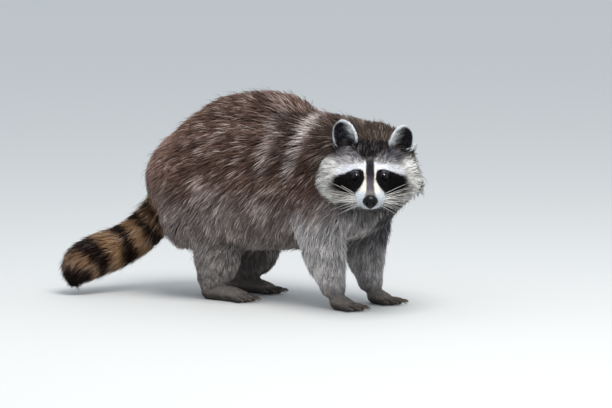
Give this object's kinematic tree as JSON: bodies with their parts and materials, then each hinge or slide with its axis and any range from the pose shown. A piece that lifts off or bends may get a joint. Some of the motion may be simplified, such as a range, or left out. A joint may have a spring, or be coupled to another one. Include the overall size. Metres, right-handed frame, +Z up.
{
  "type": "raccoon",
  "caption": "Life-size raccoon standing on all fours, head turned to its right to face the viewer, black eye mask, bushy ringed tail hanging to one side.",
  "frame": {"origin": "on the floor, under the middle of the animal's whole outline", "axes": "+Z up, -Y the way the body faces, +X the animal's left side"},
  "size_m": [0.2593, 0.5936, 0.3151],
  "materials": {
    "back_fur": "long grizzled guard hair, grey-brown with pale bands and dark tips",
    "face_fur": "short dense hair with a black mask, white brows and muzzle and pale cheek ruffs",
    "ear_fur": "short hair, pale rim round a dark middle",
    "leg_fur": "soft grey-brown hair",
    "paw_fur": "very short thin hair over bare toes and soles",
    "tail_fur": "bushy hair in tan and near-black rings",
    "nose": "moist black, fine pebbled",
    "eye": "clear wet gloss over dark brown",
    "claw": "dark horn, slightly polished"
  },
  "bodies": {
    "root": {"trunk": "back_fur", "neck": "back_fur", "head": "face_fur", "muzzle": "face_fur", "lower_jaw": "face_fur", "nose": "nose", "eye_right": "eye", "eye_left": "eye", "ear_right": "ear_fur", "ear_left": "ear_fur", "foreleg_left": "leg_fur", "forepaw_left": "paw_fur", "thigh_left": "back_fur", "shank_left": "leg_fur", "hindfoot_left": "paw_fur", "foreleg_right": "leg_fur", "forepaw_right": "paw_fur", "thigh_right": "back_fur", "shank_right": "leg_fur", "hindfoot_right": "paw_fur", "tail_1": "tail_fur", "tail_2": "tail_fur", "tail_3": "tail_fur", "tail_4": "tail_fur", "claw_forepaw_left_1": "claw", "claw_forepaw_left_2": "claw", "claw_forepaw_left_3": "claw", "claw_forepaw_left_4": "claw", "claw_forepaw_left_5": "claw", "claw_forepaw_right_1": "claw", "claw_forepaw_right_2": "claw", "claw_forepaw_right_3": "claw", "claw_forepaw_right_4": "claw", "claw_forepaw_right_5": "claw", "claw_hindfoot_left_1": "claw", "claw_hindfoot_left_2": "claw", "claw_hindfoot_left_3": "claw", "claw_hindfoot_left_4": "claw", "claw_hindfoot_left_5": "claw", "claw_hindfoot_right_1": "claw", "claw_hindfoot_right_2": "claw", "claw_hindfoot_right_3": "claw", "claw_hindfoot_right_4": "claw", "claw_hindfoot_right_5": "claw"}
  },
  "joints": []
}
